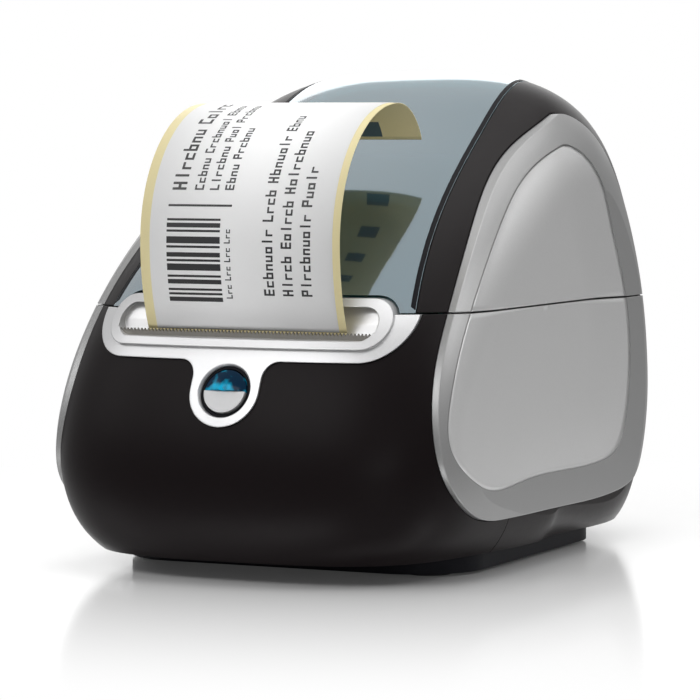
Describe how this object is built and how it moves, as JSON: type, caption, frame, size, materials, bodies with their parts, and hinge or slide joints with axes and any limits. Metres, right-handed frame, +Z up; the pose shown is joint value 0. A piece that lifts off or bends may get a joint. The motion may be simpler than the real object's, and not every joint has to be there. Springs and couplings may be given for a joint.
{
  "type": "label maker",
  "caption": "Desktop thermal label printer: pillow-shaped case, tinted hinged lid over a label roll, front slot with tear bar and feed button.",
  "frame": {"origin": "middle of the box's underside, on the floor under the feet", "axes": "seen from the front, +X is to the right, +Y to the rear and +Z up"},
  "size_m": [0.1238, 0.1876, 0.1363],
  "materials": {
    "base_black": "fine matt",
    "foot_rubber": "matt",
    "screw_steel": "satin",
    "case_black": "satin sheen",
    "panel_silver": "metallic satin",
    "bezel_silver": "metallic satin",
    "blade_steel": "bare",
    "board_green": "lacquered",
    "lamp_clear": "clear",
    "tray_black": "matt",
    "frame_steel": "zinc plated",
    "bush_brass": "turned",
    "socket_metal": "plated",
    "liner_paper": "waxed",
    "label_paper": "smooth thermal",
    "window_blue": "tinted gloss",
    "spool_black": "satin",
    "core_card": "plain",
    "button_silver": "metallic satin",
    "lens_blue": "clear tinted",
    "platen_rubber": "ground",
    "gear_white": "moulded",
    "pinion_brass": "turned",
    "head_ceramic": "ground",
    "carrier_alloy": "bare",
    "lever_green": "moulded"
  },
  "bodies": {
    "base": {"base_plate": "base_black", "rubber_feet": "foot_rubber", "case_screws": "screw_steel", "front_cover": "case_black", "rear_cover": "case_black", "side_panel_left": "panel_silver", "side_panel_right": "panel_silver", "exit_bezel": "bezel_silver", "tear_bar": "blade_steel", "button_collar": "base_black", "button_board": "board_green", "feed_switch": "base_black", "status_lamp": "lamp_clear", "roll_tray": "tray_black", "mechanism_frame": "frame_steel", "platen_bushes": "bush_brass", "head_shaft": "frame_steel", "head_springs": "screw_steel", "idler_stud": "screw_steel", "stepper_motor": "frame_steel", "main_board": "board_green", "usb_socket": "socket_metal", "dc_jack": "tray_black", "hinge_pins": "screw_steel", "label_liner": "liner_paper", "printed_label": "label_paper"},
    "lid": {"lid_frame": "case_black", "lid_window": "window_blue", "lid_panel_left": "panel_silver", "lid_panel_right": "panel_silver", "spool_cradle_left": "tray_black", "spool_cradle_right": "tray_black"},
    "spool": {"spindle": "spool_black", "roll_core": "core_card", "label_roll": "label_paper"},
    "guide": {"spool_guide": "spool_black"},
    "button": {"button_cap": "button_silver", "button_lens": "lens_blue"},
    "platen": {"platen_roller": "platen_rubber", "platen_shaft": "screw_steel", "platen_gear": "gear_white"},
    "idler": {"idler_gear": "gear_white"},
    "motor": {"motor_shaft": "screw_steel", "motor_pinion": "pinion_brass"},
    "head": {"print_head": "head_ceramic", "head_carrier": "carrier_alloy", "release_lever": "lever_green"},
    "edge_guide": {"label_guide": "spool_black"}
  },
  "joints": [
    {"name": "lid_hinge", "type": "hinge", "parent": "base", "child": "lid", "pos_m": [0, 0.086, 0.0727], "axis": [-1, 0, 0], "range_deg": [0, 75], "deforming": ["label_liner", "printed_label"]},
    {"name": "roll_spin", "type": "hinge", "parent": "lid", "child": "spool", "pos_m": [0, 0.016, 0.082], "axis": [1, 0, 0], "continuous": true},
    {"name": "spool_guide_slide", "type": "slide", "parent": "spool", "child": "guide", "axis": [1, 0, 0], "range_m": [0, 0.006]},
    {"name": "feed_button", "type": "slide", "parent": "base", "child": "button", "axis": [0, 0.9146, -0.4044], "range_m": [0, 0.0008], "stiffness_N_per_m": 400},
    {"name": "platen_spin", "type": "hinge", "parent": "base", "child": "platen", "pos_m": [0, -0.06212, 0.0611], "axis": [1, 0, 0], "continuous": true},
    {"name": "idler_spin", "type": "hinge", "parent": "base", "child": "idler", "pos_m": [0, -0.04692, 0.04835], "axis": [1, 0, 0], "continuous": true},
    {"name": "motor_spin", "type": "hinge", "parent": "base", "child": "motor", "pos_m": [0, -0.04053, 0.03254], "axis": [1, 0, 0], "continuous": true},
    {"name": "head_release", "type": "hinge", "parent": "base", "child": "head", "pos_m": [0, -0.05276, 0.0457], "axis": [1, 0, 0], "range_deg": [0, 6], "stiffness_Nm_per_rad": 0.2, "deforming": ["head_springs"]},
    {"name": "edge_guide_slide", "type": "slide", "parent": "base", "child": "edge_guide", "axis": [-1, 0, 0], "range_m": [0, 0.009]}
  ],
  "couplings": [
    {"joint": "idler_spin", "follows": "platen_spin", "ratio": -0.55556},
    {"joint": "motor_spin", "follows": "platen_spin", "ratio": 1.6667}
  ]
}
